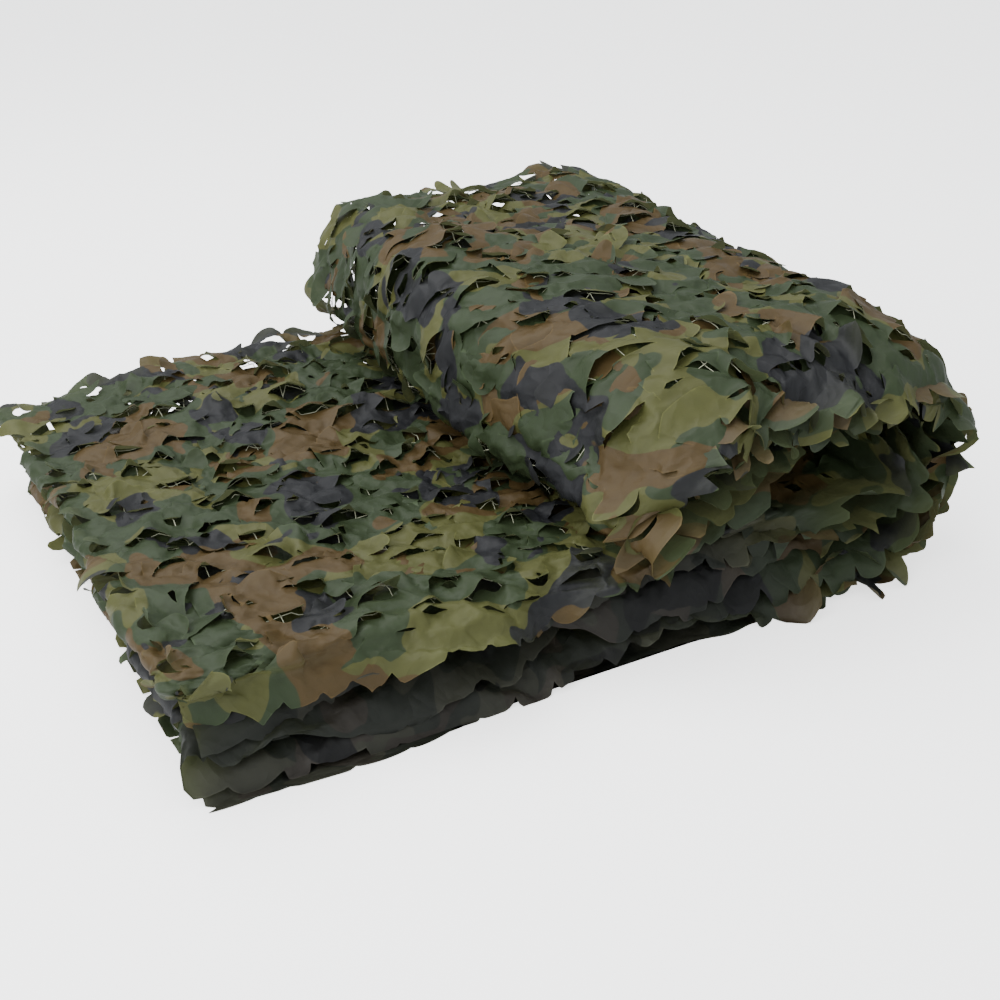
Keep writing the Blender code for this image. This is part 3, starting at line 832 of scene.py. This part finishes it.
def leafMaterial():
    material = bpy.data.materials.new("printed leaf cloth")
    material.use_nodes = True
    tree = material.node_tree
    shader = tree.nodes["Principled BSDF"]
    w, k = Wire(tree), leafPrint
    flat = w.node("UVMap", {"uv_map": "flat"})
    place = w.node("Mapping", None, {"Vector": flat, "Scale": k["stretch"]})
    wander = w.node("TexNoise", None, {"Vector": place, "Scale": k["wanderScale"], "Detail": 1.0}, output=1)
    wander = w.node("VectorMath", {"operation": "SCALE"}, {0: wander, "Scale": k["wander"]})
    place = w.node("VectorMath", {"operation": "ADD"}, {0: place, 1: wander})

    def patches(offset, start):
        apart = (offset, offset * 0.7, offset * 1.3)
        moved = w.node("VectorMath", {"operation": "ADD"}, {0: place, 1: apart})
        return w.noise(moved, 1.0, k["patchDetail"]).step(start, start + k["edge"])

    colour = patches(3.1, k["oliveFrom"]).mixed(k["green"], k["olive"])
    colour = patches(11.7, k["brownFrom"]).mixed(colour, k["brown"])
    colour = patches(23.9, k["navyFrom"]).mixed(colour, k["navy"])
    mottle = w.noise(flat, k["mottleScale"], 3.0)
    # Paler along the cut edges: frayed fibres and a painted highlight
    cutRim = w.node("Attribute", {"attribute_name": "cutRim"}, None, output=2).step(k["rimFrom"], 1.0)
    # Painted shade: the print is darkened and greyed at the near rims of the inner plies
    reverse = w.node("Attribute", {"attribute_name": "reverse"}, None, output=2)
    value = k["base"] + mottle * k["mottle"] + cutRim * k["rimFrayAndHighlight"]
    value = value * (1 - reverse * k["reverseDarker"])
    sockets = {"Value": value, "Saturation": 1 - reverse * k["reverseGreyer"], "Color": colour}
    shade = w.node("HueSaturation", None, sockets)
    tree.links.new(shade.socket, shader.inputs["Base Color"])
    tree.links.new((k["rough"] + mottle * k["roughMottle"]).socket, shader.inputs["Roughness"])
    shader.inputs["Specular IOR Level"].default_value = k["specular"]
    crease = w.maths("ABSOLUTE", w.noise(flat, *creases["broad"]) - 0.5)
    scale, detail, share = creases["fine"]
    crease = crease + w.maths("ABSOLUTE", w.noise(flat, scale, detail) - 0.5) * share
    scale, detail, share = creases["weave"]
    crease = crease + w.noise(flat, scale, detail) * share
    strength, distance = creases["deep"]
    bump = w.node("Bump", None, {"Strength": strength, "Distance": distance, "Height": crease})
    tree.links.new(bump.socket, shader.inputs["Normal"])
    through = w.node("BsdfTranslucent", None, {"Color": k["through"]})
    both = w.node("MixShader", None, {0: k["throughShare"], 1: Wire(tree, shader.outputs[0]), 2: through})
    tree.links.new(both.socket, tree.nodes["Material Output"].inputs["Surface"])
    return material


def plainMaterial(name, colour, roughness, scale, spread):
    material = bpy.data.materials.new(name)
    material.use_nodes = True
    tree = material.node_tree
    shader = tree.nodes["Principled BSDF"]
    w = Wire(tree)
    place = w.node("TexCoord", None, None, output=3)
    dark = tuple(value * (1 - spread) for value in colour[:3]) + (1,)
    pale = tuple(value * (1 + spread) for value in colour[:3]) + (1,)
    tree.links.new(w.noise(place, scale, 2.0).mixed(dark, pale).socket, shader.inputs["Base Color"])
    shader.inputs["Roughness"].default_value = roughness
    return material


def floorMaterial():
    # The floor shows whiter than the light that it throws back, as in a studio cut-out
    material = plainMaterial("floor", (0.88, 0.88, 0.88), roughness=0.9, scale=3.0, spread=0.004)
    tree = material.node_tree
    shader = tree.nodes["Principled BSDF"]
    seen = Wire(tree).node("LightPath")
    tree.links.new((seen * studio["floorGlow"]).socket, shader.inputs["Emission Strength"])
    shader.inputs["Emission Color"].default_value = (1, 1, 1, 1)
    return material


stringMesh = {
    "pitch": 0.043, "radius": 0.0006, "step": 0.009, "endClear": 0.01,
    "slack": 0.0075, "slackSize": 0.03, "under": 0.0015, "underSize": 0.05, "looksAt": 9,
}


def stringNet(name, uFrom, uTo, sheet, over):
    # The string mesh that the leaf cloth is tied to, under the sheet that shows
    k = stringMesh
    seed = sheet["seed"] + 20
    tree, cloth = settledSheets[over.name]
    rng = np.random.default_rng(seed)
    curve = bpy.data.curves.new(name, "CURVE")
    curve.dimensions = "3D"
    curve.bevel_depth, curve.bevel_resolution = k["radius"], 0
    vNear, vFar = -sheet["hangNear"][0], sheet["hangFar"][0]
    runs = []
    for u in np.arange(uFrom + k["pitch"] / 2, uTo, k["pitch"]):
        v = np.arange(vNear, vFar, k["step"])
        runs.append((np.full_like(v, u), v))
    for v in np.arange(vNear + k["pitch"] / 2, vFar, k["pitch"]):
        u = np.arange(uFrom + k["endClear"], uTo - k["endClear"], k["step"])
        runs.append((u, np.full_like(u, v)))
    for u, v in runs:
        number = rng.uniform(0, 50)
        shifted = (u + number, v + number, k["slackSize"], k["slackSize"])
        strayU, strayV = (k["slack"] * softNoise(*shifted, seed + i) for i in (0, 1))
        u, v = u + strayU, v + strayV
        pulledIn, drop = hangingRims(u, v, sheet)
        around = [[found[1] for found in tree.find_n((*point, 0.0), k["looksAt"])] for point in zip(u, v)]
        under = 1.0 + 0.5 * softNoise(u + number, v, k["underSize"], k["underSize"], seed + 2)
        lift = drop + cloth[around].min(axis=1) - k["under"] * under
        places = foldedPlace(u, v - pulledIn, lift)
        spline = curve.splines.new("POLY")
        spline.points.add(len(places) - 1)
        spline.points.foreach_set("co", np.c_[places, np.ones(len(places))].ravel())
    piece = bpy.data.objects.new(name, curve)
    bpy.context.scene.collection.objects.link(piece)
    onlySelect(piece)
    bpy.ops.object.convert(target="MESH")
    piece = bpy.context.object
    print(piece.name, len(piece.data.polygons), "faces")
    return piece


# Camera, lights and floor
view = {"at": (-0.84, -1.61, 1.0), "down": 28.0, "turn": 29.3, "lens": 49.536}
bpy.ops.object.select_all(action="DESELECT")
turned = (math.radians(90 - view["down"]), 0, -math.radians(view["turn"]))
bpy.ops.object.camera_add(location=view["at"], rotation=turned)
camera = bpy.context.object
camera.data.lens, camera.data.sensor_width = view["lens"], 36.0
bpy.context.scene.camera = camera

studio = {
    "top": {"at": (-1.0, 0.8, 3.0), "size": 3.0, "power": 140},
    "fill": {"at": (-2.9, -1.5, 2.2), "size": 2.0, "power": 105},
    "aim": (0, 0, 0.15), "world": 1.30, "worldColour": (0.95, 0.98, 1.0, 1), "floorGlow": 1.6,
}
for name in ("top", "fill"):
    light = studio[name]
    aim = Vector(studio["aim"]) - Vector(light["at"])
    turned = aim.to_track_quat("-Z", "Y").to_euler()
    bpy.ops.object.light_add(type="AREA", location=light["at"], rotation=turned)
    lamp = bpy.context.object
    lamp.name = name + " light"
    lamp.data.size, lamp.data.energy = light["size"], light["power"]
world = bpy.data.worlds.new("studio")
world.use_nodes = True
backdrop = world.node_tree.nodes["Background"]
backdrop.inputs["Color"].default_value = studio["worldColour"]
backdrop.inputs["Strength"].default_value = studio["world"]
bpy.context.scene.world = world
bpy.ops.mesh.primitive_plane_add(size=40, location=(0, 0, 0))
floor = bpy.context.object
floor.name = "floor"
floor.data.materials.append(floorMaterial())

# The leaf cloth, in three stretches of the one sheet. Of each: how far apart its points lie, how fine
# and lively its cuts are, how far it reaches across, and where and how much its two rims bend over
cloth = leafMaterial()
strings = plainMaterial("mesh string", (0.36, 0.37, 0.27), roughness=0.6, scale=80.0, spread=0.2)
rimClear = rims["depth"][1] + rims["cutClear"]

cover = {
    "spacing": 0.0053, "fineness": 1.0, "liveliness": 1.25, "near": 0.520, "far": 0.480, "seed": 1,
    "hangNear": (0.385, 0.080, -0.3, 1.7), "hangFar": (0.400, 0.070, -0.9, 1.2),
    "calmAt": -0.20, "calmReach": 0.12, "calmed": 0.65, "rimLively": 1.1,
    "inside": False, "plainDepth": 1.0,
}
coverSpan = (marks["coverStart"], marks["coverEnd"])
cuts = layCuts(*coverSpan, -cover["near"] + rimClear, cover["far"] - rimClear, cover, cover["seed"])
coverCloth = shapeCloth(flatCloth("leaf_cloth_cover", [coverSpan], cuts, cover), [coverSpan], cuts, cover)

shelf = {
    "spacing": 0.0046, "fineness": 0.76, "liveliness": 1.1, "near": 0.494, "far": 0.476, "seed": 5,
    "hangNear": (0.395, 0.065, 0.2, 1.8), "hangFar": (0.400, 0.060, -1.0, 1.1),
    "calmAt": 0.0, "calmReach": 0.2, "calmed": 0.0, "rimLively": 0.2,
    "inside": False, "plainDepth": 0.6, "flapsAt": (-0.108, -0.052), "stringsStop": 0.12,
}
shelfSpan = (marks["shelfStart"], marks["shelfEnd"])
flaps = [shelfSpan[1] + at for at in shelf["flapsAt"]]
shelfAcross = (-shelf["near"] + rimClear, shelf["far"] - rimClear)
cuts = layCuts(*shelfSpan, *shelfAcross, shelf, shelf["seed"], flaps=flaps)
shelfCloth = shapeCloth(flatCloth("leaf_cloth_shelf", [shelfSpan], cuts, shelf), [shelfSpan], cuts, shelf)

# The plies that hardly show are fine at their rims, near the left end and just under the top, else
# coarse. They are cut only there, and the near rims draw back, with painted shade darkening them between
# the plies
inner = {
    "spacing": 0.0075, "fineness": 0.8, "liveliness": 0.55, "near": 0.472, "far": 0.468, "seed": 9,
    "hangNear": (0.395, 0.070, -0.9, 1.9), "hangFar": (0.395, 0.070, -0.6, 1.6),
    "calmAt": 0.0, "calmReach": 0.2, "calmed": 0.0, "rimLively": 0.4,
    "inside": True, "plainDepth": 0.35, "groundRim": 0.016, "blockProud": 0.018,
    "leftBand": 0.085, "coarse": 0.045, "bands": ((0.0, 0.10, 1.0), (0.10, 0.16, 2.0)),
    # The last entry here is painted shade at the near rims: where it starts, its band, and how much of it
    # the block and the right end are spared
    "areaStep": 0.01, "showsCoarser": 1.25, "reverse": (0.37, 0.03, 0.85),
    "cavity": 0.075, "cavityAt": (0.33, 0.245), "cavitySize": (0.15, 0.045),
    "gap": 0.0055, "risenTo": (0.33, 0.41), "underShelf": 0.62,
    "foldSpan": (-0.10, 0.075), "foldAcross": 0.41, "flapsAt": (-0.050, 0.010),
    "rimAcross": (0.02, 0.315), "underAcross": 0.305,
    "strength": {"fold": -1.0, "rim": 0.55, "under": -0.35},
    "seeds": {"fold": 75, "nearRim": 50, "farRim": 60, "under": 71},
}
innerSpans = [(0.0, coverSpan[0]), (coverSpan[1], shelfSpan[0]), (shelfSpan[1], sheetLength)]
strength, seeds = inner["strength"], inner["seeds"]
between = (travelledAll > marks["secondTop"]) & (travelledAll < marks["leftFold"])
lowFold = travelledAll[between][placesAll[between, 0].argmin()]
lowSpan = tuple(lowFold + along for along in inner["foldSpan"])
flaps = [lowFold + at for at in inner["flapsAt"]]
across = inner["foldAcross"]
cuts = layCuts(*lowSpan, -across, across, inner, seeds["fold"], strength["fold"], flaps)
rimSpans = (*innerSpans[:2], (shelfSpan[1], lowSpan[0]), (lowSpan[1], sheetLength))
inset, stop = inner["rimAcross"]
for number, span in enumerate(rimSpans):
    nearRim, farRim = (-inner["near"] + rimClear + inset, -stop), (stop, inner["far"] - rimClear - inset)
    cuts += layCuts(*span, *nearRim, inner, seeds["nearRim"] + number, strength["rim"])
    cuts += layCuts(*span, *farRim, inner, seeds["farRim"] + number, strength["rim"])
underShelf = (marks["shelfEnd"], marks["shelfEnd"] + inner["underShelf"])
across = inner["underAcross"]
for number, span in enumerate((underShelf, (marks["secondFace"], marks["secondTop"]))):
    cuts += layCuts(*span, -across, across, inner, seeds["under"] + number, strength["under"])
innerCloth = shapeCloth(flatCloth("leaf_cloth_inner", innerSpans, cuts, inner), innerSpans, cuts, inner)

coverStrings = stringNet("string_mesh_cover", *coverSpan, cover, coverCloth)
stringsEnd = shelfSpan[1] - shelf["stringsStop"]
shelfStrings = stringNet("string_mesh_shelf", shelfSpan[0], stringsEnd, shelf, shelfCloth)

stretches = (
    (coverCloth, cover, [coverSpan], [coverStrings]),
    (shelfCloth, shelf, [shelfSpan], [shelfStrings]),
    (innerCloth, inner, innerSpans, []),
)
for piece, sheet, spans, ties in stretches:
    piece.data.materials.append(cloth)
    for each in [piece, *ties]:
        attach(each, "root")
        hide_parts("net_cloth")
    length = sum(end - start for start, end in spans)
    sheet["near"] + sheet["far"]
for each in (coverStrings, shelfStrings):
    each.data.materials.append(strings)
